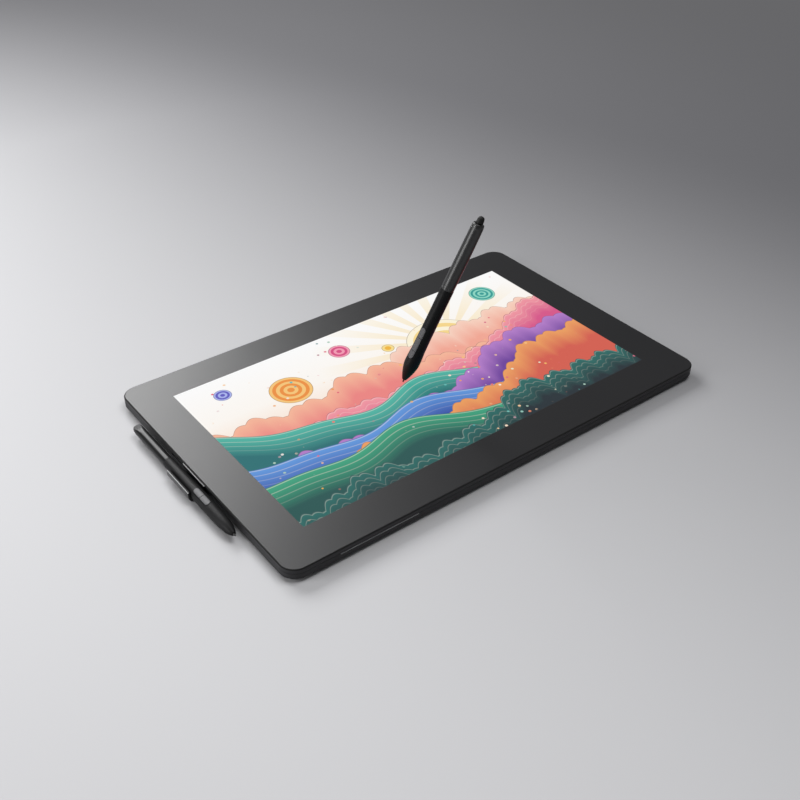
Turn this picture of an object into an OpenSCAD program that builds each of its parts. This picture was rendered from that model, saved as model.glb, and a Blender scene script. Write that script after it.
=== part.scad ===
// Pen display: a drawing tablet with its own screen, a side pen holder and two pens.
// Millimetres, +Z up. The origin is on the desk, under the middle of the tablet.
// +X is to the user's right and +Y is away from the user.

/* [Screen] */
// Width of the picture area
screen_w = 344.2; // [300:0.1:380]
// Depth of the picture area
screen_d = 193.6; // [170:0.1:220]
// Border from the picture to the outer edge, left and right
bezel_side = 32.9; // [30:0.1:45]
// Border on the user's side
bezel_front = 33.6; // [30:0.1:45]
// Border on the far side
bezel_back = 31.8; // [30:0.1:45]

/* [Layers under the glass] */
// Cover glass thickness
glass_t = 0.9; // [0.7:0.1:1.5]
// Clear bonding layer between glass and panel
bond_t = 0.35; // [0.2:0.05:0.6]
// Display panel thickness
panel_t = 2.35; // [1.8:0.05:3.5]
// Edge of the panel outside the picture
panel_edge = 4; // [2:0.5:6]
// Digitizer board thickness
digitizer_t = 0.6; // [0.4:0.1:1]
// Shield plate thickness
shield_t = 1; // [0.6:0.1:1.5]
// Free space under the shield plate
stack_gap = 0.7; // [0.4:0.1:2]

/* [Case] */
// Corner radius seen from above
corner_r = 13; // [11:0.5:18]
// How far the underside tapers in
taper_in = 9; // [6:0.5:10]
// Height of the tapered part
taper_h = 2.2; // [1.6:0.1:3]
// Wall of the case
side_wall = 2; // [1.5:0.1:2.5]
// Floor of the rear cover
floor_t = 1.2; // [1.1:0.1:1.8]
// Height of the front frame's side, glass included
frame_h = 3.6; // [3:0.1:4.5]
// Glass edge to the outer edge of the frame
glass_margin = 0.8; // [0.6:0.1:1.5]
// How far the glass stands above the frame's rim
glass_proud = 0.3; // [0.1:0.1:0.5]
// Height of the seam groove between frame and cover
seam_gap = 0.3; // [0.2:0.1:0.8]

/* [Feet and legs] */
// Height of the rubber feet below the cover
foot_h = 1.4; // [1:0.1:3]
// Width of a rubber foot
foot_w = 15; // [10:0.5:20]
// Depth of a rubber foot
foot_d = 9; // [7:0.5:10]
// Thickness of a fold-out leg
leg_t = 3.2; // [2.8:0.1:4]
// Width of a leg
leg_w = 40; // [30:1:60]
// Length of a leg from its hinge to its end
leg_len = 72; // [50:1:90]
// Side of the tablet to the middle of a leg
leg_inset = 87; // [60:1:110]
// Hinge pin diameter
pin_d = 2; // [1.6:0.1:2.2]

/* [Sockets and button] */
// Width of a USB-C socket shell
port_w = 8.94; // [8.9:0.01:9]
// Height of a USB-C socket shell
port_h = 3.26; // [3.2:0.01:3.3]
// Distance between the two sockets
port_pitch = 24; // [16:1:40]
// Length of the power button
button_w = 12; // [8:0.5:18]
// Height of the power button
button_h = 2.2; // [1.8:0.1:2.4]

/* [Pen holder] */
// Length of the holder along the tablet's side
holder_len = 33; // [24:1:50]
// Wall of the holder
holder_wall = 1.5; // [1.2:0.1:2]
// Height of the holder above the desk
holder_lift = 0.7; // [0.5:0.1:1.5]

/* [Standing pen] */
// Length from nib to eraser
pen_len = 155; // [145:1:170]
// Radius of the flared front
pen_flare_r = 6.6; // [6.2:0.1:7.5]
// Radius of the waist behind the flare
pen_waist_r = 5.6; // [5.5:0.1:6.2]
// Lean from upright
pen_lean = 23.8; // [0:0.1:45]
// Direction of the lean, counted from +X
pen_heading = -21; // [-180:1:180]
// Turn of the side keys about the pen's own axis
pen_roll = 205; // [0:1:360]

/* [Slim pen] */
// Length from nib to tail
slim_len = 154; // [145:1:170]
// Widest radius of the grip
slim_r = 5.2; // [4.9:0.1:6]
// Radius of the rear barrel
slim_barrel_r = 4.1; // [3.8:0.1:4.3]
// Turn of the side keys about the pen's own axis
slim_roll = -12; // [-90:1:90]

/* [Hidden] */
$fn = 64;

// Shared clearances
fit_gap = 0.3;
close_gap = 0.1;
cut = 1;

// Outline of the tablet
tablet_w = screen_w + 2 * bezel_side;
tablet_d = screen_d + bezel_front + bezel_back;
screen_y = (bezel_front - bezel_back) / 2;
corner_x = tablet_w / 2 - corner_r;
corner_y = tablet_d / 2 - corner_r;

// Heights, from the desk up
leg_gap = 0.25;
roof_t = 1;
leg_z0 = foot_h + leg_gap;
pocket_top = leg_z0 + leg_t + leg_gap;
shield_z0 = pocket_top + roof_t + stack_gap;
digitizer_z0 = shield_z0 + shield_t;
panel_z0 = digitizer_z0 + digitizer_t;
bond_z0 = panel_z0 + panel_t;
glass_z0 = bond_z0 + bond_t;
tablet_h = glass_z0 + glass_t;
tape_t = 0.2;
ledge_top = glass_z0 - tape_t;
ledge_t = 1.2;
rim_top = tablet_h - glass_proud;
seam_z = tablet_h - frame_h;
taper_top = foot_h + taper_h;
floor_top = foot_h + floor_t;
slope_top = taper_top + 0.8;

// Plan sizes inside the case
panel_w = screen_w + 2 * panel_edge;
panel_d = screen_d + 2 * panel_edge;
digitizer_lip = 1;
shield_lip = 2;
ledge_gap = 7;
ledge_open_w = panel_w + 2 * ledge_gap;
ledge_open_d = panel_d + 2 * ledge_gap;
glass_r = corner_r - glass_margin;
glass_slot = 0.15;
panel_y_back = screen_y + panel_d / 2;

// Screws and their posts
screw_r = 1;
head_r = 1.9;
head_h = 0.6;
post_r = 2.6;
screw_len = 5;
screw_corner_gap = 42;
screw_x = corner_x - screw_corner_gap;
screw_rows = [for (f = [-1, -1 / 3, 1 / 3, 1]) f * screw_x];
post_inset = post_r + 0.6;
screw_y = ledge_open_d / 2 + post_inset;
screw_spots = [for (x = screw_rows, side = [-1, 1]) [x, screen_y + side * screw_y]];

// Feet near the corners, each let into a small boss that stands out of the taper
foot_side = 23;
foot_edge = 3.5;
foot_seat = 0.6;
foot_r = 2.5;
foot_x = tablet_w / 2 - foot_side;
foot_y = tablet_d / 2 - foot_edge - foot_d / 2;
boss_lip = 1;
boss_out = foot_y + foot_d / 2 + boss_lip;
boss_in = foot_y - foot_d / 2 - boss_lip;
boss_top = taper_top - taper_h * (tablet_d / 2 - boss_out) / taper_in + fit_gap;
foot_spots = [for (x = [-1, 1], y = [-1, 1]) [x * foot_x, y * foot_y]];

// Legs fold forward from a hinge near the back
hinge_y = panel_y_back - 10;
hinge_z = leg_z0 + leg_t / 2;
pin_gap = 0.05;
pin_seat_gap = 0.02;
leg_side_gap = 0.5;
leg_wall = 1.6;
knuckle_room = 3.2;
pad_len = 7;
leg_x = tablet_w / 2 - leg_inset;
finger_r = 9;

// Boards and sockets at the back edge
port_z0 = slope_top + 0.05;
port_len = 9;
port_back = 0.9;
port_gap = 0.25;
board_t = 1;
board_w = 2 * screw_x / 3 - 2 * post_r - 2;
board_back_gap = 6.4;
board_y1 = tablet_d / 2 - board_back_gap;
board_y0 = panel_y_back + shield_lip + 1;
button_x = 2 * screw_x / 3;
button_z = (slope_top + seam_z) / 2;
button_travel = 0.5;
button_proud = 0.3;
flange_t = 0.8;
flange_lip = 0.35;
flange_h_lip = 0.1;
switch_t = 3;
switch_w = 6;
button_front = tablet_d / 2 - side_wall - fit_gap - flange_t;

// Holder, and the slots that it can hook into
holder_r = slim_r + fit_gap;
slim_x = -(tablet_w / 2 + holder_wall + holder_r);
slim_z = holder_lift + holder_wall + holder_r;
slim_tip_y = -71;
holder_top = tablet_h - 1;
slot_h = 1.4;
slot_depth = 1;
slot_len = 77;
slot_y = -1.5;
holder_y = 1.1;
front_slot_h = 1;
front_slot_len = 68;
front_slot_x = 75 - tablet_w / 2;
slot_z = seam_z - seam_gap - slot_h;
tongue_inset = 3;

// Standing pen, along its own axis from the nib
tip_gap = 0.3;
pen_tip = [-11.3, screen_y - 0.1, tablet_h + tip_gap];
nib_r = 0.9;
nib_gap = 0.2;
nib_show = 3;
nib_len = 30;
coil_z0 = 10;
coil_len = 16;
coil_r = 2.5;
pen_mouth_r = 1.9;
pen_cone_z = 10.5;
pen_flare_z = 17.5;
pen_flare_bend = pen_flare_z + 3.5;
pen_waist_z = pen_flare_z + 14.5;
pen_waist_bend = pen_waist_z + 18;
pen_grip_end = 0.58 * pen_len;
pen_spigot = 8;
pen_spigot_r = 4;
pen_eraser_len = 6;
pen_barrel_end = pen_len - pen_eraser_len;
pen_barrel_mid = (pen_grip_end + pen_barrel_end) / 2;
pen_bore_r = 3.4;
pen_board_z0 = 58;
eraser_rod_r = 2;
eraser_rod_len = 9;
eraser_head_r = 3.1;
eraser_gap = 0.8;
pen_row_z0 = 24.8;
key_split = 0.4;
pen_key_lens = [6.8, 11.7, 9.4];
pen_keys_z = [
    pen_row_z0, pen_row_z0 + pen_key_lens[0] + key_split,
    pen_row_z0 + pen_key_lens[0] + pen_key_lens[1] + 2 * key_split
];
pen_row_len = pen_keys_z[2] + pen_key_lens[2] - pen_row_z0;
pen_key_w = 4.8;
key_proud = 0.35;
pen_key_floor = 3.4;
pen_key_base = 4.2;

// Slim pen, along its own axis from the nib
slim_nib_show = 2.5;
slim_mouth_r = 1.7;
slim_cone_z = 7;
slim_shoulder_z = 19;
slim_swell_z = 34;
slim_waist_z = 52;
slim_grip_end = 0.64 * slim_len;
slim_grip_bend = (slim_waist_z + slim_grip_end) / 2;
slim_coil_r = 2;
slim_spigot_r = 3.1;
slim_bore_r = 2.6;
slim_board_z0 = 66;
slim_row_z0 = 35.1;
slim_key_len = 9.9;
slim_keys_z = [slim_row_z0, slim_row_z0 + slim_key_len + key_split];
slim_row_len = 2 * slim_key_len + key_split;
slim_key_w = 4.4;
slim_key_floor = 2.6;
slim_key_base = 3.3;
tail_round = 1.6;
tail_cut_len = 12;
tail_cut_deep = 3.2;

// Points of a curve from a to c that bends towards b
function bend(a, b, c, n = 6) =
    [for (i = [0 : n]) let (t = i / n) (1 - t) * (1 - t) * a + 2 * t * (1 - t) * b + t * t * c];

// All points of a list but the first
function rest(list) = [for (i = [1 : len(list) - 1]) list[i]];

// Outer curve of the standing pen's grip, as radius and distance from the nib
pen_grip_curve = concat(
    bend([pen_mouth_r, nib_show], [pen_flare_r - 1.3, pen_cone_z], [pen_flare_r - 0.3, pen_flare_z]),
    rest(bend(
        [pen_flare_r - 0.3, pen_flare_z], [pen_flare_r + 0.1, pen_flare_bend], [pen_waist_r + 0.25, pen_waist_z], 5
    )),
    rest(bend(
        [pen_waist_r + 0.25, pen_waist_z], [pen_waist_r - 0.2, pen_waist_bend], [pen_waist_r - 0.1, pen_grip_end], 5
    ))
);

// Outer curve of the standing pen's barrel
pen_barrel_curve = concat(
    [[pen_waist_r - 0.4, pen_grip_end]],
    bend(
        [pen_waist_r - 0.3, pen_grip_end + 1], [pen_waist_r - 0.2, pen_barrel_mid],
        [pen_waist_r - 0.6, pen_barrel_end - 3]
    ),
    [[pen_waist_r - 1.1, pen_barrel_end]]
);

// Outer curve of the slim pen's grip
slim_grip_curve = concat(
    bend([slim_mouth_r, slim_nib_show], [slim_r - 0.8, slim_cone_z], [slim_r - 0.35, slim_shoulder_z]),
    rest(bend(
        [slim_r - 0.35, slim_shoulder_z], [slim_r + 0.2, slim_swell_z], [slim_r - 0.05, slim_waist_z], 5
    )),
    rest(bend(
        [slim_r - 0.05, slim_waist_z], [slim_r - 0.45, slim_grip_bend], [slim_r - 0.75, slim_grip_end], 4
    ))
);

// A flat rounded rectangle
module rounded_rect(w, d, r) {
    square([w - 2 * r, d], center = true);
    square([w, d - 2 * r], center = true);
    for (x = [-1, 1], y = [-1, 1])
        translate([x * (w / 2 - r), y * (d / 2 - r)])
            circle(r);
}

// A straight plate between two heights
module plate(w, d, r, z0, z1) {
    translate([0, 0, z0])
        linear_extrude(z1 - z0)
            rounded_rect(w, d, r);
}

// A solid with a rounded outline, the tablet's own if no other is given, whose edge follows
// a profile of radius and height
module rim_form(profile, cx = corner_x, cy = corner_y) {
    n = len(profile);
    for (x = [-1, 1], y = [-1, 1])
        translate([x * cx, y * cy, 0])
            rotate_extrude()
                polygon(profile);
    for (side = [[0, cx, cy], [90, cy, cx]])
        rotate([90, 0, 90 + side[0]])
            linear_extrude(2 * side[1], center = true)
                polygon(concat(
                    [for (p = profile) [side[2] + p[0], p[1]]],
                    [for (i = [1 : n]) [-side[2] - profile[n - i][0], profile[n - i][1]]]
                ));
}

// A flat pill of a given length along X
module pill(length, width) {
    square([length - width, width], center = true);
    for (x = [-1, 1])
        translate([x * (length - width) / 2, 0])
            circle(width / 2);
}

// A pill that runs along a pen, standing out from a height above its axis
module key_block(z0, length, width, base, top) {
    translate([base, 0, z0 + length / 2])
        rotate([0, 90, 0])
            linear_extrude(top - base)
                pill(length, width);
}

// A turned shape from a curve of radius and distance, closed on the axis
module turned(curve) {
    rotate_extrude()
        polygon(concat(
            [[0, curve[0][1]]],
            curve,
            [[0, curve[len(curve) - 1][1]]]
        ));
}

// A straight hole along a pen
module pen_hole(r, z0, z1) {
    translate([0, 0, z0])
        cylinder(r = r, h = z1 - z0);
}

// A nib with a rounded tip and a straight rod
module nib_form(show) {
    color("dimgray")
        rotate_extrude()
            polygon([
                [0, 0], [0.3, 0.08], [0.52, 0.3], [0.62, 0.6], [nib_r, show], [nib_r, nib_len], [0, nib_len]
            ]);
}

// A coil as a plain ring round the nib
module coil_form(r) {
    color("peru")
        difference() {
            pen_hole(r, coil_z0, coil_z0 + coil_len);
            pen_hole(nib_r + nib_gap, coil_z0 - cut, coil_z0 + coil_len + cut);
        }
}

// One side key, cut from a long rounded row whose top follows the grip's curve and stands out a little
module key_form(curve, row_z0, row_len, z0, length, width, base) {
    color("gray")
        intersection() {
            key_block(row_z0, row_len, width, base, 2 * pen_flare_r);
            turned([for (p = curve) [p[0] + key_proud, p[1]]]);
            translate([0, -width, z0])
                cube([2 * pen_flare_r, 2 * width, length]);
        }
}

// From a pen's own axis to its place on the glass
module standing() {
    translate(pen_tip)
        rotate([0, pen_lean, pen_heading])
            rotate([0, 0, pen_roll])
                children();
}

// From a pen's own axis to its place in the holder
module stowed() {
    translate([slim_x, slim_tip_y, slim_z])
        rotate([-90, -90, 0])
            rotate([0, 0, slim_roll])
                children();
}

module cover_glass() {
    color("darkslategray")
        rim_form([
            [0, glass_z0], [glass_r, glass_z0], [glass_r, tablet_h - 0.2], [glass_r - 0.2, tablet_h], [0, tablet_h]
        ]);
}

module glass_tape() {
    tape_in = 0.6;
    color("black")
        difference() {
            plate(
                tablet_w - 2 * (glass_margin + tape_in), tablet_d - 2 * (glass_margin + tape_in),
                glass_r - tape_in, ledge_top, glass_z0
            );
            translate([0, screen_y, 0])
                plate(
                    ledge_open_w + 2 * tape_in, ledge_open_d + 2 * tape_in, 2, ledge_top - cut, glass_z0 + cut
                );
        }
}

// A flat layer under the picture, with a lip all round
module layer(lip, z0, t) {
    translate([0, screen_y, z0 + t / 2])
        cube([panel_w + 2 * lip, panel_d + 2 * lip, t], center = true);
}

module bond_layer() {
    color("lightsteelblue")
        layer(-panel_edge / 2, bond_z0, bond_t);
}

module display_panel() {
    color("gainsboro")
        layer(0, panel_z0, panel_t);
}

module digitizer_board() {
    color("darkgreen")
        layer(digitizer_lip, digitizer_z0, digitizer_t);
}

module shield_plate() {
    color("silver")
        layer(shield_lip, shield_z0, shield_t);
}

module front_frame() {
    edge = 0.4;
    color("dimgray")
        difference() {
            union() {
                difference() {
                    rim_form([
                        [0, seam_z], [corner_r, seam_z], [corner_r, rim_top - edge], [corner_r - edge, rim_top],
                        [0, rim_top]
                    ]);
                    plate(
                        tablet_w - 2 * glass_margin + 2 * glass_slot,
                        tablet_d - 2 * glass_margin + 2 * glass_slot,
                        glass_r + glass_slot, ledge_top, tablet_h + cut
                    );
                    translate([0, screen_y, 0])
                        plate(ledge_open_w, ledge_open_d, 2, seam_z - cut, tablet_h + cut);
                    plate(
                        tablet_w - 2 * side_wall, tablet_d - 2 * side_wall, corner_r - side_wall,
                        seam_z - cut, ledge_top - ledge_t
                    );
                }
                for (p = screw_spots)
                    translate([p[0], p[1], floor_top])
                        cylinder(r = post_r, h = ledge_top - ledge_t / 2 - floor_top);
            }
            for (p = screw_spots)
                translate([p[0], p[1], floor_top - cut])
                    cylinder(r = screw_r + pin_gap, h = screw_len + cut);
        }
}

// The room that a folded leg needs
module leg_pocket(x, grow, z0, z1) {
    w = leg_w + 2 * leg_side_gap + 2 * grow;
    y0 = hinge_y - leg_len - 2 * leg_side_gap - grow;
    y1 = hinge_y + knuckle_room + grow;
    translate([x - w / 2, y0, z0])
        cube([w, y1 - y0, z1 - z0]);
}

// The pad on the underside that a foot is let into
module foot_boss(p) {
    s = sign(p[1]);
    intersection() {
        translate([p[0], 0, 0])
            rotate([90, 0, 90])
                linear_extrude(2 * foot_w, center = true)
                    polygon([
                        [s * boss_out, foot_h], [s * boss_out, boss_top], [s * boss_in, foot_h + floor_t / 2],
                        [s * boss_in, foot_h]
                    ]);
        translate([p[0], p[1], 0])
            plate(foot_w + 2 * boss_lip, foot_d + 2 * boss_lip, foot_r + boss_lip, foot_h, taper_top);
    }
}

module rear_cover() {
    color([0.16, 0.16, 0.17])
        difference() {
            union() {
                difference() {
                    rim_form([
                        [0, foot_h], [corner_r - taper_in, foot_h], [corner_r, taper_top],
                        [corner_r, seam_z - seam_gap], [corner_r - 0.5, seam_z - seam_gap],
                        [corner_r - 0.5, seam_z], [0, seam_z]
                    ]);
                    rim_form([
                        [0, floor_top], [corner_r - taper_in - 0.5, floor_top], [corner_r - side_wall, slope_top],
                        [corner_r - side_wall, seam_z + cut], [0, seam_z + cut]
                    ]);
                }
                for (s = [-1, 1])
                    leg_pocket(s * leg_x, leg_wall, foot_h, pocket_top + roof_t);
                for (p = foot_spots)
                    foot_boss(p);
                for (x = [-1, 1])
                    translate([x * board_w / 3, (board_y0 + board_y1) / 2, floor_top - floor_t / 2])
                        cylinder(r = 3, h = port_z0 - board_t - floor_top + floor_t / 2);
                translate([button_x, board_y1 - switch_t, floor_top - floor_t / 2])
                    cylinder(r = 2, h = port_z0 - board_t - floor_top + floor_t / 2);
            }
            for (s = [-1, 1]) {
                leg_pocket(s * leg_x, 0, foot_h - cut, pocket_top);
                translate([s * leg_x, hinge_y, hinge_z])
                    rotate([0, 90, 0])
                        cylinder(r = pin_d / 2 + pin_seat_gap, h = leg_w + 2 * leg_side_gap + 4 * leg_wall, center = true);
                translate([s * leg_x, hinge_y - leg_len - 2 * leg_side_gap, foot_h - cut])
                    cylinder(r = finger_r, h = floor_t / 2 + cut);
            }
            for (p = screw_spots)
                translate([p[0], p[1], foot_h - cut]) {
                    cylinder(r = screw_r + close_gap, h = floor_t + 2 * cut);
                    cylinder(r = head_r + close_gap, h = head_h + cut);
                }
            for (p = foot_spots)
                translate([p[0], p[1], 0])
                    plate(
                        foot_w + 2 * close_gap, foot_d + 2 * close_gap, foot_r + close_gap,
                        foot_h - cut, foot_h + foot_seat
                    );
            for (x = [-1, 1])
                translate([x * port_pitch / 2, tablet_d / 2 + cut, port_z0 + port_h / 2])
                    rotate([90, 0, 0])
                        linear_extrude(side_wall + 2 * cut)
                            pill(port_w + 2 * port_gap, port_h + 2 * port_gap);
            translate([button_x, tablet_d / 2 + cut, button_z])
                rotate([90, 0, 0])
                    linear_extrude(side_wall + 2 * cut)
                        pill(button_w + 2 * fit_gap, button_h + 2 * fit_gap);
            for (s = [-1, 1])
                translate([s * tablet_w / 2, slot_y, slot_z + slot_h / 2])
                    cube([2 * slot_depth, slot_len, slot_h], center = true);
            translate([front_slot_x, -tablet_d / 2, slot_z + slot_h - front_slot_h / 2])
                cube([front_slot_len, 2 * slot_depth, front_slot_h], center = true);
        }
}

module main_board() {
    color("darkgreen")
        translate([-board_w / 2, board_y0, port_z0 - board_t])
            cube([board_w, board_y1 - board_y0, board_t]);
}

module usb_c_ports() {
    shell_t = 0.3;
    tongue_t = 0.7;
    color("silver")
        for (x = [-1, 1])
            translate([x * port_pitch / 2, tablet_d / 2 - port_back, port_z0 + port_h / 2])
                rotate([90, 0, 0]) {
                    difference() {
                        linear_extrude(port_len)
                            pill(port_w, port_h);
                        translate([0, 0, -cut])
                            linear_extrude(port_len - shell_t)
                                pill(port_w - 2 * shell_t, port_h - 2 * shell_t);
                    }
                    translate([0, 0, port_len / 2])
                        cube([port_w - port_h, tongue_t, port_len - 2 * shell_t], center = true);
                }
}

module panel_flex() {
    flex_w = 26;
    flex_t = 0.3;
    y0 = panel_y_back;
    z0 = panel_z0 + panel_t / 2;
    y1 = board_y0 + 3;
    z1 = port_z0;
    color("orange")
        translate([-board_w / 2 + flex_w, 0, 0])
            rotate([90, 0, 90])
                linear_extrude(flex_w, center = true)
                    polygon([
                        [y0, z0], [y1 - 1, z0], [y1, z0 - 1], [y1, z1 + flex_t], [y1 + 3, z1 + flex_t], [y1 + 3, z1],
                        [y1 - flex_t, z1], [y1 - flex_t, z0 - 1], [y1 - 1 - flex_t, z0 - flex_t], [y0, z0 - flex_t]
                    ]);
}

module switch_board() {
    color("darkgreen")
        translate([button_x - switch_w, board_y1 - 2 * switch_t, port_z0 - board_t])
            cube([2 * switch_w, 2 * switch_t, board_t]);
}

module tact_switch() {
    stem_r = 0.8;
    stem_end = button_front - button_travel - close_gap;
    color("silver") {
        translate([button_x - switch_w / 2, board_y1 - switch_t, port_z0])
            cube([switch_w, switch_t, button_z - port_z0 + button_h / 2]);
        translate([button_x, board_y1 - switch_t / 2, button_z])
            rotate([-90, 0, 0])
                cylinder(r = stem_r, h = stem_end - board_y1 + switch_t / 2);
    }
}

module rubber_feet() {
    edge = 0.5;
    color("black")
        for (p = foot_spots)
            translate([p[0], p[1], 0])
                rim_form([
                    [0, 0], [foot_r - edge, 0], [foot_r, edge], [foot_r, foot_h + foot_seat], [0, foot_h + foot_seat]
                ], foot_w / 2 - foot_r, foot_d / 2 - foot_r);
}

module cover_screws() {
    socket_r = 0.8;
    color("gray")
        for (p = screw_spots)
            translate([p[0], p[1], foot_h])
                difference() {
                    union() {
                        cylinder(r = head_r, h = head_h);
                        cylinder(r = screw_r, h = screw_len);
                    }
                    translate([0, 0, -cut])
                        cylinder(r = socket_r, h = head_h + cut, $fn = 6);
                }
}

module leg_pin(s) {
    color("silver")
        translate([s * leg_x, hinge_y, hinge_z])
            rotate([0, 90, 0])
                cylinder(r = pin_d / 2, h = leg_w + 2 * leg_side_gap + 2 * leg_wall, center = true);
}

module left_leg_pin() {
    leg_pin(-1);
}

module right_leg_pin() {
    leg_pin(1);
}

// A leg lies flat, with a rounded knuckle at the hinge and a hollow on its upper side
module leg(s) {
    rim = 5;
    hollow = 1.2;
    body_len = leg_len - pad_len;
    color([0.18, 0.18, 0.19])
        translate([s * leg_x, hinge_y, leg_z0])
            difference() {
                union() {
                    translate([-leg_w / 2, -body_len, 0])
                        cube([leg_w, body_len, leg_t]);
                    translate([0, 0, leg_t / 2])
                        rotate([0, 90, 0])
                            cylinder(d = leg_t, h = leg_w, center = true);
                }
                translate([0, 0, leg_t / 2])
                    rotate([0, 90, 0])
                        cylinder(r = pin_d / 2 + pin_gap, h = leg_w + 2 * cut, center = true);
                translate([-leg_w / 2 + rim, -body_len + rim, leg_t - hollow])
                    cube([leg_w - 2 * rim, body_len - 2 * rim - leg_t, hollow + cut]);
            }
}

module left_leg() {
    leg(-1);
}

module right_leg() {
    leg(1);
}

// The rubber end that stands on the desk when the leg is out
module leg_pad(s) {
    nose = 2;
    color("black")
        translate([s * leg_x, hinge_y - leg_len + pad_len, leg_z0])
            rotate([90, 0, 90])
                linear_extrude(leg_w, center = true)
                    polygon([[0, 0], [0, leg_t], [nose - pad_len, leg_t], [-pad_len, leg_t - nose], [-pad_len, 0]]);
}

module left_leg_pad() {
    leg_pad(-1);
}

module right_leg_pad() {
    leg_pad(1);
}

module pen_holder() {
    out_r = holder_r + holder_wall;
    rise = holder_top - slim_z;
    color([0.1, 0.1, 0.1]) {
        translate([slim_x, holder_y, slim_z])
            rotate([90, 0, 0])
                linear_extrude(holder_len, center = true)
                    difference() {
                        union() {
                            circle(out_r);
                            translate([-out_r, 0])
                                square([2 * out_r, rise]);
                        }
                        circle(holder_r);
                        translate([-holder_r, 0])
                            square([2 * holder_r, out_r + rise]);
                    }
        translate([-tablet_w / 2 - holder_wall / 2, holder_y - holder_len / 2 + tongue_inset, slot_z + close_gap])
            cube([
                holder_wall / 2 + slot_depth - close_gap, holder_len - 2 * tongue_inset, slot_h - 2 * close_gap
            ]);
    }
}

module power_button() {
    color("dimgray")
        translate([button_x, tablet_d / 2 + button_proud, button_z])
            rotate([90, 0, 0]) {
                linear_extrude(button_proud + side_wall + fit_gap + flange_t / 2)
                    pill(button_w, button_h);
                translate([0, 0, button_proud + side_wall + fit_gap])
                    linear_extrude(flange_t)
                        pill(button_w + 4 * flange_lip, button_h + 2 * fit_gap + 2 * flange_h_lip);
            }
}

module pen_grip() {
    standing()
        color([0.13, 0.13, 0.14])
            difference() {
                turned(pen_grip_curve);
                pen_hole(nib_r + nib_gap, nib_show - cut, nib_len + cut);
                pen_hole(coil_r + close_gap, coil_z0, coil_z0 + coil_len + cut);
                pen_hole(pen_bore_r, pen_board_z0 - cut, pen_grip_end + cut);
                pen_hole(pen_spigot_r + pin_gap, pen_grip_end - pen_spigot - close_gap, pen_grip_end + cut);
                key_block(
                    pen_row_z0 - fit_gap, pen_row_len + 2 * fit_gap, pen_key_w + 2 * fit_gap, pen_key_floor,
                    2 * pen_flare_r
                );
            }
}

module pen_barrel() {
    standing()
        color([0.08, 0.08, 0.09])
            difference() {
                union() {
                    turned(pen_barrel_curve);
                    pen_hole(pen_spigot_r, pen_grip_end - pen_spigot, pen_grip_end + cut);
                }
                pen_hole(pen_bore_r, pen_grip_end - pen_spigot - cut, pen_barrel_end - eraser_rod_len - 2 * cut);
                pen_hole(eraser_rod_r + nib_gap, pen_grip_end, pen_barrel_end + cut);
            }
}

module pen_coil() {
    standing()
        coil_form(coil_r);
}

// A narrow board that lies along the bore of a pen
module board_strip(r, z0, z1) {
    t = 1;
    w = 2 * sqrt(r * r - t * t / 4) - 2 * close_gap;
    color("darkgreen")
        translate([-t / 2, -w / 2, z0])
            cube([t, w, z1 - z0]);
}

module pen_board() {
    standing()
        board_strip(pen_bore_r, pen_board_z0, pen_barrel_end - eraser_rod_len - 3 * cut);
}

module pen_nib() {
    standing()
        nib_form(nib_show);
}

module pen_eraser() {
    head_z = pen_barrel_end + eraser_gap;
    standing()
        color("black")
            rotate_extrude()
                polygon(concat(
                    [
                        [0, head_z - eraser_rod_len], [eraser_rod_r, head_z - eraser_rod_len], [eraser_rod_r, head_z],
                        [eraser_head_r, head_z]
                    ],
                    bend([eraser_head_r - 0.4, pen_len - 2], [eraser_head_r - 0.6, pen_len], [0, pen_len])
                ));
}

module pen_key(i) {
    standing()
        key_form(
            pen_grip_curve, pen_row_z0, pen_row_len, pen_keys_z[i], pen_key_lens[i], pen_key_w, pen_key_base
        );
}

module pen_key_front() {
    pen_key(0);
}

module pen_key_middle() {
    pen_key(1);
}

module pen_key_rear() {
    pen_key(2);
}

module slim_grip() {
    stowed()
        color([0.13, 0.13, 0.14])
            difference() {
                turned(slim_grip_curve);
                pen_hole(nib_r + nib_gap, slim_nib_show - cut, nib_len + cut);
                pen_hole(slim_coil_r + close_gap, coil_z0, coil_z0 + coil_len + cut);
                pen_hole(slim_bore_r, slim_board_z0 - cut, slim_grip_end + cut);
                pen_hole(slim_spigot_r + pin_gap, slim_grip_end - pen_spigot - close_gap, slim_grip_end + cut);
                key_block(
                    slim_row_z0 - fit_gap, slim_row_len + 2 * fit_gap, slim_key_w + 2 * fit_gap, slim_key_floor,
                    2 * slim_r
                );
            }
}

module slim_barrel() {
    stowed()
        color([0.08, 0.08, 0.09])
            difference() {
                union() {
                    turned(concat(
                        [[slim_barrel_r, slim_grip_end], [slim_barrel_r + 0.2, slim_grip_end + 1]],
                        bend(
                            [slim_barrel_r, slim_len - tail_round], [slim_barrel_r, slim_len],
                            [slim_barrel_r - tail_round, slim_len], 4
                        )
                    ));
                    pen_hole(slim_spigot_r, slim_grip_end - pen_spigot, slim_grip_end + cut);
                }
                pen_hole(slim_bore_r, slim_grip_end - pen_spigot - cut, slim_len - 4 * slim_barrel_r);
                rotate([90, 0, 0])
                    linear_extrude(4 * slim_barrel_r, center = true)
                        polygon([
                            [slim_barrel_r, slim_len - tail_cut_len], [2 * slim_barrel_r, slim_len - tail_cut_len],
                            [2 * slim_barrel_r, slim_len + tail_cut_len],
                            [slim_barrel_r - 2 * tail_cut_deep, slim_len + tail_cut_len]
                        ]);
            }
}

module slim_coil() {
    stowed()
        coil_form(slim_coil_r);
}

module slim_board() {
    stowed()
        board_strip(slim_bore_r, slim_board_z0, slim_len - 4 * slim_barrel_r - cut);
}

module slim_nib() {
    stowed()
        nib_form(slim_nib_show);
}

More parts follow.
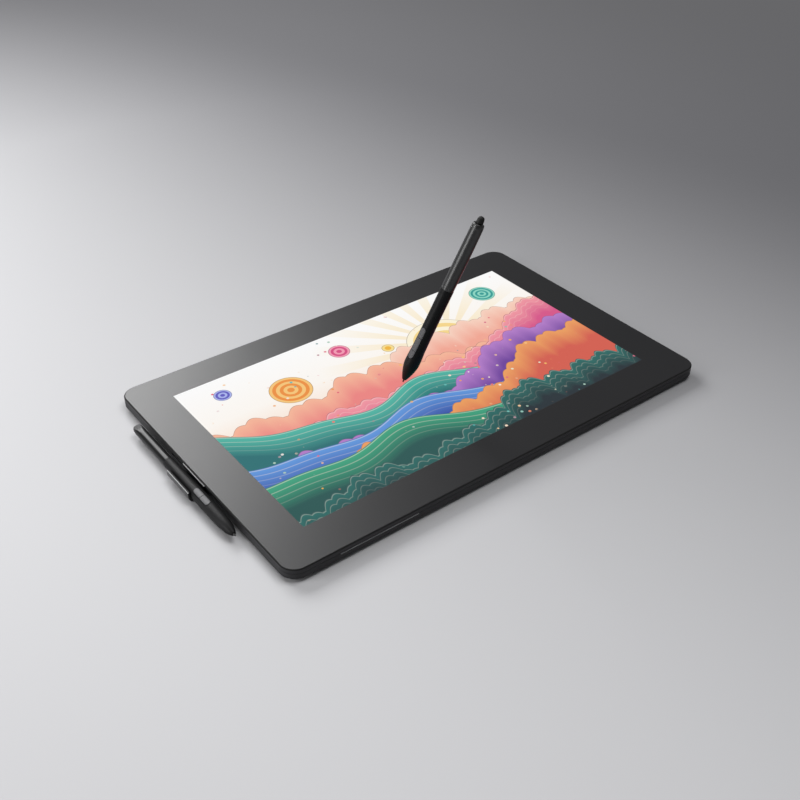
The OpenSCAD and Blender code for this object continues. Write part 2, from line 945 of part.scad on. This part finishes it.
module slim_key(i) {
    stowed()
        key_form(
            slim_grip_curve, slim_row_z0, slim_row_len, slim_keys_z[i], slim_key_len, slim_key_w, slim_key_base
        );
}

module slim_key_front() {
    slim_key(0);
}

module slim_key_rear() {
    slim_key(1);
}

cover_glass();
glass_tape();
bond_layer();
display_panel();
digitizer_board();
shield_plate();
front_frame();
rear_cover();
main_board();
usb_c_ports();
panel_flex();
switch_board();
tact_switch();
rubber_feet();
cover_screws();
left_leg_pin();
right_leg_pin();
pen_holder();
power_button();
left_leg();
left_leg_pad();
right_leg();
right_leg_pad();
pen_grip();
pen_barrel();
pen_coil();
pen_board();
pen_nib();
pen_eraser();
pen_key_front();
pen_key_middle();
pen_key_rear();
slim_grip();
slim_barrel();
slim_coil();
slim_board();
slim_nib();
slim_key_front();
slim_key_rear();
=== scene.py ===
import math

import bmesh
import bpy
from mathutils import Matrix, Vector


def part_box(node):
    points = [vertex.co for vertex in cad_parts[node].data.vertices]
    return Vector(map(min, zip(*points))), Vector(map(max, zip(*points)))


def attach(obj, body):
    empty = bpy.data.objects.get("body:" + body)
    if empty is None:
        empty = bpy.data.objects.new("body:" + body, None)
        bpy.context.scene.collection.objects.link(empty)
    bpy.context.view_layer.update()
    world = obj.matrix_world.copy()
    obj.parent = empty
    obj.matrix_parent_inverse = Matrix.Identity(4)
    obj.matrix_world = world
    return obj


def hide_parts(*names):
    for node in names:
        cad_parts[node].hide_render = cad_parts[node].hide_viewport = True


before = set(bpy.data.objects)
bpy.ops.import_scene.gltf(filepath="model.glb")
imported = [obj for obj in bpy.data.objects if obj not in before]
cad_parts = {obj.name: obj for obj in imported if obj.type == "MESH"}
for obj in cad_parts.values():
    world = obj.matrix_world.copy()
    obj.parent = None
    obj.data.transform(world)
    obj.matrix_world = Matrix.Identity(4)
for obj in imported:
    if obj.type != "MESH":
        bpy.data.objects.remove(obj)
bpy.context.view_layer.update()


# Rear cover: one injection-moulded tray of black glass-filled plastic, screwed up to the front frame.
# Its outside is spark-eroded in the mould, which leaves a fine even grain that scatters light.
MM = 0.001
DRIFT_SCALE, DRIFT_DETAIL = 18.0, 4.0
GRAIN_DETAIL, GRAIN_BUMP = 2.0, 0.35
GLOSS_SPREAD = 0.12


class Signal:
    """A socket in a material. Sums, products and so on of signals add Math nodes."""

    def __init__(self, tree, socket):
        self.tree = tree
        self.socket = socket

    def node(self, kind, settings, values, out=0):
        """A new node's output: its settings are set first, then its sockets' values or links."""
        made = self.tree.nodes.new("ShaderNode" + kind)
        stops = settings.pop("stops", [])
        for name, value in settings.items():
            setattr(made, name, value)
        if stops:
            ramp = made.color_ramp
            while len(ramp.elements) < len(stops):
                ramp.elements.new(1.0)
            for element, (place, colour) in zip(ramp.elements, stops):
                element.position = place
                element.color = colour
        for key, value in values.items():
            if isinstance(value, Signal):
                self.tree.links.new(value.socket, made.inputs[key])
            else:
                made.inputs[key].default_value = value
        return Signal(self.tree, made.outputs[out])

    def maths(self, operation, *others, clamp=False):
        settings = {"operation": operation, "use_clamp": clamp}
        return self.node("Math", settings, dict(enumerate((self, *others))))

    def reflected(self, operation, other):
        return self.node("Math", {"operation": operation}, {0: other, 1: self})

    def __add__(self, other):
        return self.maths("ADD", other)

    def __sub__(self, other):
        return self.maths("SUBTRACT", other)

    def __rsub__(self, other):
        return self.reflected("SUBTRACT", other)

    def __mul__(self, other):
        return self.maths("MULTIPLY", other)

    def __truediv__(self, other):
        return self.maths("DIVIDE", other)

    def __rtruediv__(self, other):
        return self.reflected("DIVIDE", other)

    __radd__ = __add__
    __rmul__ = __mul__

    def clamped(self):
        return self.maths("ADD", 0.0, clamp=True)

    def mixed(self, low, high):
        """A colour between two, with this signal as the share of the second."""
        values = {"Factor": self, 6: low, 7: high}
        return self.node("Mix", {"data_type": "RGBA"}, values, out=2)

    def noise(self, scale, detail=3.0, roughness=0.55):
        values = {"Vector": self, "Scale": scale, "Detail": detail, "Roughness": roughness}
        return self.node("TexNoise", {}, values)

    def bumped(self, strength, distance):
        values = {"Height": self, "Strength": strength, "Distance": distance}
        return self.node("Bump", {}, values)

    def split(self):
        return [self.node("SeparateXYZ", {}, {0: self}, out=i) for i in range(3)]


def linear(hex_colour, level=1.0):
    """A colour written as six hex digits, as the linear values that Blender takes."""
    shares = [int(hex_colour[i:i + 2], 16) / 255 for i in (0, 2, 4)]
    plain = [s / 12.92 if s <= 0.04045 else ((s + 0.055) / 1.055) ** 2.4 for s in shares]
    return [p * level for p in plain] + [1.0]


def start_finish(name):
    """A new material, its surface shader, and the place of each point as a signal."""
    material = bpy.data.materials.new(name)
    material.use_nodes = True
    tree = material.node_tree
    shader = tree.nodes["Principled BSDF"]
    where = Signal(tree, tree.nodes.new("ShaderNodeTexCoord").outputs["Object"])
    return material, shader, where


def feed(shader, **signals):
    """Join signals to the shader's sockets, named with _ for a space."""
    for name, signal in signals.items():
        signal.tree.links.new(signal.socket, shader.inputs[name.replace("_", " ")])


def dress(material, *names):
    """Give CAD nodes a material."""
    for name in names:
        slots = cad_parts[name].data.materials
        slots.clear()
        slots.append(material)


def moulded(name, dark, light, rough, grain_mm, depth_mm, shine=0.5):
    """Grained plastic: its colour and gloss drift a little, and the grain catches the light."""
    material, shader, where = start_finish(name)
    shader.inputs["Specular IOR Level"].default_value = shine
    grain = where.noise(1 / (grain_mm * MM), GRAIN_DETAIL)
    drift = where.noise(DRIFT_SCALE, DRIFT_DETAIL)
    feed(
        shader,
        Base_Color=((grain + drift) * 0.5).clamped().mixed(linear(dark), linear(light)),
        Roughness=rough - GLOSS_SPREAD / 2 + GLOSS_SPREAD * drift,
        Normal=grain.bumped(GRAIN_BUMP, depth_mm * MM),
    )
    return material


cover_grain = moulded("cover_grain", "151517", "1f1f22", 0.5, 0.35, 0.03, shine=0.4)
dress(cover_grain, "rear_cover")


# Slot lip: a satin strip along the lower edge of the front slot, coloured pale grey as a painted highlight on
# the slot's lower lip.
# The pen holder can hook in there too. It is pressed in flush, and its bevels catch the light.
LIP_SIZE, LIP_BEVEL = Vector((67.6, 0.8, 0.45)), 0.12
LIP_SUNK = 0.05
SLOT_MID, SLOT_FLOOR = -130.0, 7.1
HARD_EDGE = math.radians(32)


def piece(name, shape, material, place, body, smooth=True):
    """An object made from a shape, put in its place and riding on a body."""
    mesh = bpy.data.meshes.new(name)
    shape.to_mesh(mesh)
    shape.free()
    if smooth:
        mesh.shade_smooth()
        mesh.set_sharp_from_angle(angle=HARD_EDGE)
    mesh.materials.append(material)
    made = bpy.data.objects.new(name, mesh)
    made.matrix_world = place
    bpy.context.scene.collection.objects.link(made)
    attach(made, body)
    return made


lip_shape = bmesh.new()
bmesh.ops.create_cube(lip_shape, size=1.0)
bmesh.ops.scale(lip_shape, vec=LIP_SIZE * MM, verts=lip_shape.verts)
bmesh.ops.bevel(
    lip_shape, geom=lip_shape.edges[:], offset=LIP_BEVEL * MM, segments=2, affect="EDGES", profile=0.5
)
# Pale grey: a painted highlight along the slot's lower lip.
lip_painted_highlight = moulded("lip_painted_highlight", "8d8e90", "a0a1a3", 0.4, 0.3, 0.01)
wall_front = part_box("rear_cover")[0].y
lip_place = Matrix.Translation((
    SLOT_MID * MM,
    wall_front + (LIP_SIZE.y / 2 + LIP_SUNK) * MM,
    (SLOT_FLOOR + LIP_SIZE.z / 2) * MM,
))
piece("front_slot_lip", lip_shape, lip_painted_highlight, lip_place, "tablet", smooth=False)


# Fold-out legs: two flat plates of the cover's own plastic, each on a steel pin at its root.
# They are moulded in the same grain, and lie flush in the underside until they are pulled out.
dress(cover_grain, "left_leg", "right_leg")


# Feet and leg ends: rounded blocks and strips of soft black rubber, glued into shallow seats.
# They hold the tablet on the desk, and pick up a little dust.
rubber = moulded("foot_rubber", "141414", "232322", 0.82, 0.6, 0.05)
dress(rubber, "rubber_feet", "left_leg_pad", "right_leg_pad")


# Screws, hinge pins and socket shells: small steel pieces, turned or pressed.
# The screws are blackened, the pins are ground bright, and the shells and the shield are plated.
BRUSHED_DARK, BRUSHED_BUMP, BRUSHED_DEPTH = 0.8, 0.15, 0.01


def steel(name, colour, rough, grain_mm):
    """Bare metal with fine uneven marks from its making."""
    material, shader, where = start_finish(name)
    brushed = where.noise(1 / (grain_mm * MM), detail=4.0)
    shader.inputs["Metallic"].default_value = 1.0
    feed(
        shader,
        Base_Color=brushed.mixed(linear(colour, BRUSHED_DARK), linear(colour)),
        Roughness=rough + 0.15 * brushed,
        Normal=brushed.bumped(BRUSHED_BUMP, BRUSHED_DEPTH * MM),
    )
    return material


dress(steel("black_screw_steel", "2b2b2d", 0.35, 0.4), "cover_screws")
dress(steel("bright_pin_steel", "c4c6c8", 0.22, 0.25), "left_leg_pin", "right_leg_pin")
dress(steel("plated_shell", "b9bcc0", 0.28, 0.3), "usb_c_ports", "tact_switch", "shield_plate")


# Boards and layers inside: green lacquer over copper, with darker bare stretches between the tracks.
# The ribbon is amber film, the coils are copper wire, and the layers of the screen lie on black tape.
TRACK_SCALE, TRACK_GAP = 240.0, 0.12
board, board_shader, board_where = start_finish("board_lacquer")
track_map = {"Vector": board_where, "Scale": TRACK_SCALE, "Mortar Size": TRACK_GAP}
tracks = board_where.node("TexBrick", {"offset": 0.5}, track_map, out=1)
feed(
    board_shader,
    Base_Color=tracks.mixed(linear("0e4a26"), linear("1c6b38")),
    Roughness=0.35 + 0.2 * tracks,
)
dress(board, "main_board", "switch_board", "digitizer_board", "pen_board", "slim_board")
dress(moulded("ribbon_film", "b0761c", "c98a2a", 0.35, 1.2, 0.01), "panel_flex")
dress(moulded("panel_layers", "b9bcc2", "cfd2d6", 0.4, 2.0, 0.01), "display_panel", "bond_layer")
dress(moulded("black_tape", "121212", "1a1a1a", 0.7, 0.5, 0.02), "glass_tape")
dress(steel("copper_wire", "b5672f", 0.3, 0.3), "pen_coil", "slim_coil")


# Front frame and power button: a thin black painted rim that carries the glass, and a key in its back wall.
# The rim's wall is satin. Its narrow top, beside the glass, is left dull and painted near-black as painted
# shade, so it shows as a black line.
RIM_LINE, RIM_SOFT = 0.5, 0.1
rim_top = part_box("front_frame")[1].z
frame_paint, frame_shader, frame_where = start_finish("frame_paint")
frame_grain = frame_where.noise(1 / (0.25 * MM), GRAIN_DETAIL)
frame_drift = frame_where.noise(DRIFT_SCALE, DRIFT_DETAIL)
# The rim's top band: rougher, and painted near-black as painted shade in the joint beside the glass.
rim_dull_and_painted_shade = ((frame_where.split()[2] - (rim_top - RIM_LINE * MM)) / (RIM_SOFT * MM)).clamped()
frame_wall = frame_drift.mixed(linear("141416"), linear("1c1c1f"))
frame_shader.inputs["Specular IOR Level"].default_value = 0.4
feed(
    frame_shader,
    Base_Color=rim_dull_and_painted_shade.mixed(frame_wall, linear("050505")),
    Roughness=0.42 + 0.1 * frame_drift + 0.4 * rim_dull_and_painted_shade,
    Normal=frame_grain.bumped(GRAIN_BUMP, 0.012 * MM),
)
dress(frame_paint, "front_frame")
dress(moulded("button_satin", "151517", "1d1d20", 0.34, 0.25, 0.012), "power_button")


# Cover glass: one sheet of etched glass over the whole front, bonded to the screen below it.
# A black print behind its border hides the case, and the etching spreads reflections into a soft haze.
# The screen is on, and shows a drawing of a sun, discs and hills, measured in heights of the screen.
PANEL_EDGE = 4 * MM
ETCH_ROUGH, LIT_ROUGH, EDGE_ROUGH = 0.4, 0.55, 0.4
SMEAR_SPREAD = 0.06
SCREEN_GLOW = 0.92
FEATHER = 0.0016
INK, INK_WIDTH, INK_SHARE = linear("43263a"), 0.0021, 0.8
glass_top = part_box("cover_glass")[1].z
screen_low, screen_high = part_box("display_panel")
screen_mid = (screen_low + screen_high) / 2
screen_w = screen_high.x - screen_low.x - 2 * PANEL_EDGE
screen_d = screen_high.y - screen_low.y - 2 * PANEL_EDGE
screen_top = Vector((screen_mid.x, screen_mid.y, glass_top))

etched, etched_shader, etched_where = start_finish("etched_glass")
glass_x, glass_y, glass_z = etched_where.split()
across = (glass_x - screen_mid.x) / screen_d
along = (glass_y - screen_mid.y) / screen_d


def wave(level, slope, swing, count, phase):
    """The height of a long swell across the picture, with a shorter one on its back."""
    long_swell = (across * count + phase).maths("SINE") * swing
    short_swell = (across * (count * 2.3) + phase * 1.7).maths("SINE") * (swing * 0.35)
    return across * slope + long_swell + short_swell + level


def lobed(lobes, phase):
    """A row of rounded lobes across the picture, from 0 to 1."""
    return (across * lobes + phase).maths("SINE").maths("ABSOLUTE")


def disc(x, y, radius):
    """How far each point lies inside a circle, as a share of its radius."""
    dx = across - x
    dy = along - y
    return 1 - (dx * dx + dy * dy).maths("SQRT") / radius


def inked(depth, body):
    """A body with a thin dark line just inside its edge, as in a drawing."""
    line = 1 - (depth / INK_WIDTH - 1).maths("ABSOLUTE").clamped()
    return (line * INK_SHARE).mixed(body, INK)


SKY = [(0.0, "f7b48c"), (0.45, "fbdcc4"), (0.72, "fffaf4"), (1.0, "ffffff")]
sky_stops = [(place, linear(colour)) for place, colour in SKY]
picture = along.node("ValToRGB", {"stops": sky_stops}, {"Fac": along + 0.5})

SUN = (0.30, 0.13)
RAYS, RAY_EDGE, RAY_REACH, RAY_SHARE = 22.0, 6.0, 0.62, 0.5
sun_turn = (along - SUN[1]).maths("ARCTAN2", across - SUN[0])
rays = ((sun_turn * RAYS).maths("SINE") * RAY_EDGE).clamped() * (disc(*SUN, RAY_REACH) * 1.6).clamped()
picture = (rays * RAY_SHARE).mixed(picture, linear("fbe3a8"))

# Each disc: place across, place along, radius, rings, rim colour, core colour.
DISCS = [
    (*SUN, 0.19, 3.0, "f9d98a", "fff6dc"),
    (-0.47, 0.24, 0.095, 3.0, "ef8f34", "f9c877"),
    (-0.14, 0.36, 0.050, 2.0, "d8447f", "f59bb4"),
    (0.70, 0.36, 0.065, 3.0, "1f9a94", "8ad9c4"),
    (-0.72, 0.38, 0.040, 2.0, "5a55c0", "a9b4ee"),
    (0.05, 0.25, 0.030, 1.0, "f2b632", "fbe08e"),
    (0.79, 0.19, 0.028, 1.0, "e0503c", "f7a184"),
]
RING_EDGE = 8.0
for x, y, radius, rings, rim, core in DISCS:
    inside = disc(x, y, radius)
    band = ((inside * (rings * 2 * math.pi)).maths("SINE") * RING_EDGE + 0.5).clamped()
    body = inked(inside * radius, band.mixed(linear(rim), linear(core)))
    picture = (inside * (radius / FEATHER)).clamped().mixed(picture, body)

# Each bank of hills: level, slope, swing, swells, phase, lobe height, lobes, crest colour, foot colour,
# and the strength of its contour lines.
BANKS = [
    (0.11, 0.10, 0.050, 4.2, 0.4, 0.045, 17.0, "fbd5c2", "f5a793", 0.0),
    (0.05, -0.12, 0.055, 5.0, 2.1, 0.050, 14.0, "f9b99a", "ee8380", 0.0),
    (-0.02, 0.16, 0.050, 4.4, 3.7, 0.030, 21.0, "f59aa4", "d94f88", 0.4),
    (-0.07, -0.18, 0.060, 5.6, 0.9, 0.0, 9.0, "4cbba8", "0d6c70", 0.5),
    (-0.16, 0.15, 0.050, 4.8, 5.2, 0.045, 15.0, "b67ccc", "6a379c", 0.0),
    (-0.21, -0.14, 0.055, 5.2, 1.6, 0.0, 9.0, "5f9be2", "2b4aa6", 0.5),
    (-0.27, 0.17, 0.050, 6.0, 4.0, 0.035, 19.0, "f0a25c", "d65a48", 0.0),
    (-0.32, -0.15, 0.055, 5.4, 2.6, 0.0, 9.0, "36a880", "08504c", 0.5),
    (-0.42, 0.09, 0.040, 6.6, 5.6, 0.040, 23.0, "186a64", "051f2a", 0.3),
]
FOOT_PACE, CONTOUR_PACE, CONTOUR_FADE = 6.5, 190.0, 7.0
for level, slope, swing, count, phase, lobe, lobes, crest, foot, lines in BANKS:
    edge = wave(level, slope, swing, count, phase)
    if lobe:
        edge = edge + lobed(lobes, phase) * lobe + lobed(lobes * 2.6, phase) * (lobe * 0.4)
    depth = edge - along
    body = (depth * FOOT_PACE).clamped().mixed(linear(crest), linear(foot))
    if lines:
        contour = ((depth * CONTOUR_PACE).maths("SINE") * 4.0 - 3.2).clamped()
        near_crest = 1 - (depth * CONTOUR_FADE).clamped()
        body = (contour * near_crest * lines).mixed(body, linear("fff4e6"))
    picture = (depth / FEATHER).clamped().mixed(picture, inked(depth, body))

FLECK_SCALE, FLECK_SIZE, FLECK_EDGE = 120.0, 0.17, 30.0
PATCH_SCALE, PATCH_FROM, PATCH_EDGE = 30.0, 0.52, 14.0
FLECK_TINTS = [(0.0, "ffffff"), (0.35, "f7b347"), (0.55, "e0527a"), (0.75, "48b5b0"), (1.0, "fff0d0")]
cell_map = {"Vector": etched_where, "Scale": FLECK_SCALE, "Randomness": 1.0}
cell_reach = etched_where.node("TexVoronoi", {}, cell_map)
cell_tint = etched_where.node("TexVoronoi", {}, cell_map, out=1).split()[0]
patches = ((etched_where.noise(PATCH_SCALE) - PATCH_FROM) * PATCH_EDGE).clamped()
tint_stops = [(place, linear(colour)) for place, colour in FLECK_TINTS]
fleck = cell_tint.node("ValToRGB", {"stops": tint_stops}, {"Fac": cell_tint})
picture = (((FLECK_SIZE - cell_reach) * FLECK_EDGE).clamped() * patches).mixed(picture, fleck)

lit_across = (((screen_w / 2) / screen_d - across.maths("ABSOLUTE")) / FEATHER).clamped()
lit_along = ((0.5 - along.maths("ABSOLUTE")) / FEATHER).clamped()
top_side = ((glass_z - (glass_top - 0.1 * MM)) / (0.05 * MM)).clamped()
lit = lit_across * lit_along * top_side
etching = etched_where.noise(1 / (0.12 * MM), GRAIN_DETAIL)
smear = etched_where.noise(9.0, detail=5.0)
gloss = ETCH_ROUGH - SMEAR_SPREAD / 2 + SMEAR_SPREAD * smear
etched_shader.inputs["IOR"].default_value = 1.5
etched_shader.inputs["Emission Strength"].default_value = SCREEN_GLOW
feed(
    etched_shader,
    # The glass's side edges are painted darker than its top, as painted shade for the black line where it
    # meets the frame.
    Base_Color=lit.mixed(top_side.mixed(linear("030303"), linear("101012")), linear("060606")),
    Roughness=gloss + LIT_ROUGH * lit + EDGE_ROUGH * (1 - top_side),
    Emission_Color=lit.mixed(linear("000000"), picture),
    Normal=etching.bumped(0.08, 0.01 * MM),
)
dress(etched, "cover_glass")


# Pen holder: an open trough of satin black plastic that hooks into a slot in the tablet's side.
# It is moulded smooth, so the flat tops of its two walls show as thin bright lines.
dress(moulded("holder_satin", "111112", "19191a", 0.3, 0.3, 0.01), "pen_holder")


# Pen grips, keys and nibs: soft-touch rubber over plastic, satin grey keys in a long slot, and hard nibs.
# The rubber is dull, so light spreads over it without a sharp edge. The eraser is a plug of softer rubber.
soft_touch = moulded("soft_touch_grip", "0a0a0b", "121213", 0.48, 0.2, 0.015, shine=0.16)
key_satin = moulded("key_satin", "4a4a4c", "58585a", 0.45, 0.3, 0.01, shine=0.3)
nib_hard = moulded("nib_hard", "121212", "1a1a1a", 0.45, 0.2, 0.01)
eraser_rubber = moulded("eraser_rubber", "0c0c0c", "151515", 0.6, 0.2, 0.01, shine=0.25)
dress(soft_touch, "pen_grip", "slim_grip")
dress(key_satin, "pen_key_front", "pen_key_middle", "pen_key_rear", "slim_key_front", "slim_key_rear")
dress(nib_hard, "pen_nib", "slim_nib")
dress(eraser_rubber, "pen_eraser")


# Standing pen's barrel: a turned tube of satin black plastic that plugs into the grip.
# It swells slightly, ends in a collar round the eraser, and has a fine groove behind the joint.
def bend(a, b, c, steps=16):
    """Points of a curve from a to c that bends towards b."""
    shares = [i / steps for i in range(steps + 1)]
    return [
        [(1 - s) ** 2 * p + 2 * s * (1 - s) * q + s * s * r for p, q, r in zip(a, b, c)]
        for s in shares
    ]


def turned(curve, sides=96):
    """A shape turned about its own Z from points of radius and distance, in millimetres."""
    shape = bmesh.new()
    turns = [2 * math.pi * i / sides for i in range(sides)]
    rows = [
        [shape.verts.new(Vector((radius * math.cos(a), radius * math.sin(a), far)) * MM) for a in turns]
        for radius, far in curve
    ]
    for low, high in zip(rows, rows[1:]):
        for i in range(sides):
            j = (i + 1) % sides
            shape.faces.new((low[i], low[j], high[j], high[i]))
    if curve[-1][0] < 1:
        shape.faces.new(rows[-1])
    return shape


# Points of radius and distance from the nib's end.
BARREL_FROM, BARREL_TO = 89.9, 149.0
PEN_TURN, PEN_LEAN = math.radians(-21), math.radians(23.8)
PEN_FOOT = Vector((-11.3, -0.1, 0.3))
barrel_curve = [[4.9, BARREL_FROM - 0.1], [5.2, BARREL_FROM], [5.3, 90.6]]
barrel_curve += [[5.3, 91.9], [5.16, 92.0], [5.16, 92.25], [5.3, 92.35]]
barrel_curve += bend([5.31, 93.0], [5.42, 120], [5.02, 145.2])
barrel_curve += [[4.86, 145.4], [4.86, 145.7], [5.0, 145.9]]
barrel_curve += bend([4.98, 146.2], [4.75, BARREL_TO], [4.2, BARREL_TO], 8)
barrel_curve += [[2.3, BARREL_TO], [2.2, BARREL_TO - 0.2], [2.2, BARREL_TO - 4]]
pen_place = (
    Matrix.Translation(screen_top + PEN_FOOT * MM)
    @ Matrix.Rotation(PEN_TURN, 4, "Z")
    @ Matrix.Rotation(PEN_LEAN, 4, "Y")
)
pen_satin = moulded("pen_satin", "0b0b0c", "111112", 0.36, 0.5, 0.002, shine=0.75)
pen_barrel = piece("standing_pen_barrel", turned(barrel_curve), pen_satin, pen_place, "pen")
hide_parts("pen_barrel")


# Slim pen's barrel: the same satin plastic, thinner, turned with the same groove behind the joint.
# Its rounded tail is planed to a slanted flat on the upper side, and the pen lies along the tablet's side.
TAIL, FLAT_FROM, FLAT_TOP, FLAT_DROP = 154.0, 143.0, 4.3, 2.2
SLIM_TURN = math.radians(-12)
slim_curve = [[3.6, 98.4], [4.1, 98.56], [4.3, 99.2]]
slim_curve += [[4.3, 99.9], [4.16, 100.0], [4.16, 100.25], [4.28, 100.35]]
slim_curve += bend([4.28, 101], [4.2, 120], [4.1, 146])
slim_curve += bend([4.1, 147], [4.1, TAIL - 0.2], [2.2, TAIL], 18) + [[0.4, TAIL + 0.05]]
slim_shape = turned(slim_curve)
for vert in slim_shape.verts:
    far = vert.co.z / MM
    if far > FLAT_FROM:
        flat = FLAT_TOP - FLAT_DROP * (far - FLAT_FROM) / (TAIL - FLAT_FROM)
        vert.co.x = min(vert.co.x, flat * MM)
slim_low, slim_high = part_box("slim_nib")
slim_axis = (slim_low + slim_high) / 2
lying = Matrix(((0, 1, 0, 0), (0, 0, 1, 0), (1, 0, 0, 0), (0, 0, 0, 1)))
slim_place = (
    Matrix.Translation((slim_axis.x, slim_low.y, slim_axis.z))
    @ lying
    @ Matrix.Rotation(SLIM_TURN, 4, "Z")
)
slim_satin = moulded("slim_satin", "0c0c0d", "121213", 0.3, 0.5, 0.002, shine=0.25)
slim_barrel = piece("slim_pen_barrel", slim_shape, slim_satin, slim_place, "slim_pen")
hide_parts("slim_barrel")


# Floor: a pale seamless studio sheet of matt paper, its colour painted darker towards the right and back as
# painted shade.
# Far from the tablet it fades into the grey of the room, so that no edge shows behind it.
FLOOR_SIZE = 9.0
FADE_FROM, FADE_TO = 0.7, 1.9
ROOM_GREY = (0.16, 0.16, 0.165, 1.0)
SHADE_X, SHADE_Y, SHADE_AT, SHADE_MOTTLE = 0.953, 0.273, 0.36, 0.02
sheet, sheet_shader, sheet_where = start_finish("studio_sheet")
sheet_shader.inputs["Roughness"].default_value = 0.9
sheet_x, sheet_y, _ = sheet_where.split()
mottle = sheet_where.noise(3.0) * SHADE_MOTTLE
# Painted shade: the sheet's colour goes from pale to grey towards the right and back.
slant = (sheet_x * SHADE_X + sheet_y * SHADE_Y + SHADE_AT + mottle).clamped()
shade = slant * slant * (3 - slant * 2)
feed(sheet_shader, Base_Color=shade.mixed(linear("b7b7b9"), linear("57575a")))
reach = (sheet_x * sheet_x + sheet_y * sheet_y).maths("SQRT")
distance = ((reach - FADE_FROM) / (FADE_TO - FADE_FROM)).clamped()
room_haze = distance.node("Emission", {}, {"Color": ROOM_GREY})
near_sheet = Signal(sheet.node_tree, sheet_shader.outputs[0])
faded = distance.node("MixShader", {}, {0: distance, 1: near_sheet, 2: room_haze})
sheet.node_tree.links.new(faded.socket, sheet.node_tree.nodes["Material Output"].inputs[0])

floor_shape = bmesh.new()
bmesh.ops.create_grid(floor_shape, x_segments=1, y_segments=1, size=FLOOR_SIZE / 2)
floor_mesh = bpy.data.meshes.new("studio_floor")
floor_shape.to_mesh(floor_mesh)
floor_shape.free()
floor_mesh.materials.append(sheet)
floor = bpy.data.objects.new("studio_floor", floor_mesh)
bpy.context.scene.collection.objects.link(floor)


# Light: a large soft box behind the tablet, which gives the glass its haze, and one overhead for the shadows.
# A narrow box on the left draws the bright line down the pens, and the dim room fills in the rest.
def soft_box(name, place, aim, size, watts):
    lamp = bpy.data.lights.new(name, "AREA")
    lamp.shape = "RECTANGLE"
    lamp.size, lamp.size_y = size
    lamp.energy = watts
    box = bpy.data.objects.new(name, lamp)
    box.location = place
    box.rotation_euler = (Vector(aim) - Vector(place)).to_track_quat("-Z", "Y").to_euler()
    bpy.context.scene.collection.objects.link(box)


soft_box("back_box", (-0.1, 1.45, 1.05), (0, 0, 0), (1.3, 0.9), 37.0)
soft_box("left_box", (-1.5, 0.35, 0.6), (0, 0, 0.1), (0.65, 1.1), 15.0)
soft_box("overhead_box", (0.35, -0.35, 1.9), (-0.2, 0, 0), (1.0, 1.0), 22.0)
room = bpy.data.worlds.new("dim_room")
room.use_nodes = True
room.node_tree.nodes["Background"].inputs["Color"].default_value = ROOM_GREY
room.node_tree.nodes["Background"].inputs["Strength"].default_value = 1.0
bpy.context.scene.world = room


# Camera: where the photograph was taken from, high over the front left corner of the tablet.
# Its place, in millimetres from the middle of the screen, and its angles were solved from the outline.
CAMERA_FROM_SCREEN = Vector((-443.3, -560.8, 500.5))
CAMERA_ANGLES = (53.765, -0.181, -37.299)
lens = bpy.data.cameras.new("camera")
lens.sensor_width = 36.0
lens.lens = 47.1
camera = bpy.data.objects.new("camera", lens)
camera.location = screen_top + CAMERA_FROM_SCREEN * MM
camera.rotation_euler = [math.radians(a) for a in CAMERA_ANGLES]
bpy.context.scene.collection.objects.link(camera)
bpy.context.scene.camera = camera
bpy.context.scene.view_settings.view_transform = "Standard"
